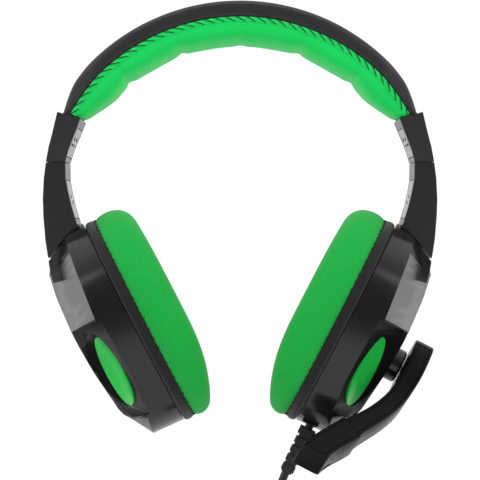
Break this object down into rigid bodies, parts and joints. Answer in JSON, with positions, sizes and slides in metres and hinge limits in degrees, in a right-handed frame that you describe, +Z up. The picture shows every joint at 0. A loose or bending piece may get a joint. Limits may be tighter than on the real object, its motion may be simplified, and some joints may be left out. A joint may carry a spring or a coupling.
{
  "type": "gaming headset",
  "caption": "Over-ear headset: padded headband, sliding arms, tilting oval cups with soft pads, a swinging microphone boom and a thin cord, its spare length coiled.",
  "frame": {"origin": "middle of the headband cushion's underside, where the head carries the headset", "axes": "+Z up, -Y the front of the wearer's head, +X the side with the microphone and the cord"},
  "size_m": [0.1699, 0.0795, 0.3244],
  "materials": {
    "gloss_black": "gloss",
    "satin_black": "satin",
    "leatherette": "fine grain",
    "green_cloth": "fine mesh weave",
    "green_gloss": "gloss",
    "black_cloth": "mesh weave",
    "rubber": "matt",
    "steel": "brushed",
    "gold": "gold plated",
    "dark_metal": "satin",
    "film": "satin film",
    "foam": "matt"
  },
  "bodies": {
    "headband": {"headband_cover": "leatherette", "headband_cushion": "green_cloth", "headband_spring": "steel", "left_end_cap": "satin_black", "left_end_cap_plate": "gloss_black", "left_cap_screw_1": "steel", "left_cap_screw_2": "steel", "left_slider_strip": "steel", "right_end_cap": "satin_black", "right_end_cap_plate": "gloss_black", "right_cap_screw_1": "steel", "right_cap_screw_2": "steel", "right_slider_strip": "steel"},
    "left_arm": {"left_arm_shell": "satin_black", "left_arm_cover": "gloss_black", "left_arm_screw": "steel", "left_detent_leaf": "steel", "left_hinge_pin": "steel"},
    "right_arm": {"right_arm_shell": "satin_black", "right_arm_cover": "gloss_black", "right_arm_screw": "steel", "right_detent_leaf": "steel", "right_hinge_pin": "steel"},
    "left_cup": {"left_cup_shell": "gloss_black", "left_dish": "green_gloss", "left_baffle": "satin_black", "left_baffle_screw_1": "steel", "left_baffle_screw_2": "steel", "left_driver_frame": "dark_metal", "left_driver_diaphragm": "film", "left_driver_magnet": "steel", "left_pad_base": "black_cloth", "left_ear_pad": "green_cloth", "left_pad_liner": "foam"},
    "right_cup": {"right_cup_shell": "gloss_black", "right_dish": "green_gloss", "right_baffle": "satin_black", "right_baffle_screw_1": "steel", "right_baffle_screw_2": "steel", "right_driver_frame": "dark_metal", "right_driver_diaphragm": "film", "right_driver_magnet": "steel", "right_pad_base": "black_cloth", "right_ear_pad": "green_cloth", "right_pad_liner": "foam", "mic_hub": "gloss_black", "strain_relief": "rubber", "cord": "rubber", "cord_coil": "rubber", "coil_tie": "leatherette", "cord_tail": "rubber", "plug_body": "rubber", "plug_pin": "gold"},
    "mic_boom": {"mic_boom_outer": "gloss_black", "mic_boom_inner": "gloss_black", "mic_axle": "steel", "mic_capsule": "dark_metal", "mic_grille": "black_cloth"}
  },
  "joints": [
    {"name": "left_slide", "type": "slide", "parent": "headband", "child": "left_arm", "axis": [-0.134, 0, -0.991], "range_m": [0, 0.02]},
    {"name": "left_tilt", "type": "hinge", "parent": "left_arm", "child": "left_cup", "pos_m": [-0.0802, 0, -0.0839], "axis": [0, 1, 0], "range_deg": [0, 5]},
    {"name": "right_slide", "type": "slide", "parent": "headband", "child": "right_arm", "axis": [0.134, 0, -0.991], "range_m": [0, 0.02]},
    {"name": "right_tilt", "type": "hinge", "parent": "right_arm", "child": "right_cup", "pos_m": [0.0802, 0, -0.0839], "axis": [0, -1, 0], "range_deg": [0, 5]},
    {"name": "mic_swing", "type": "hinge", "parent": "right_cup", "child": "mic_boom", "pos_m": [0.07279, 0.01084, -0.14183], "axis": [-0.8871, 0.0645, 0.457], "range_deg": [0, 43]}
  ]
}
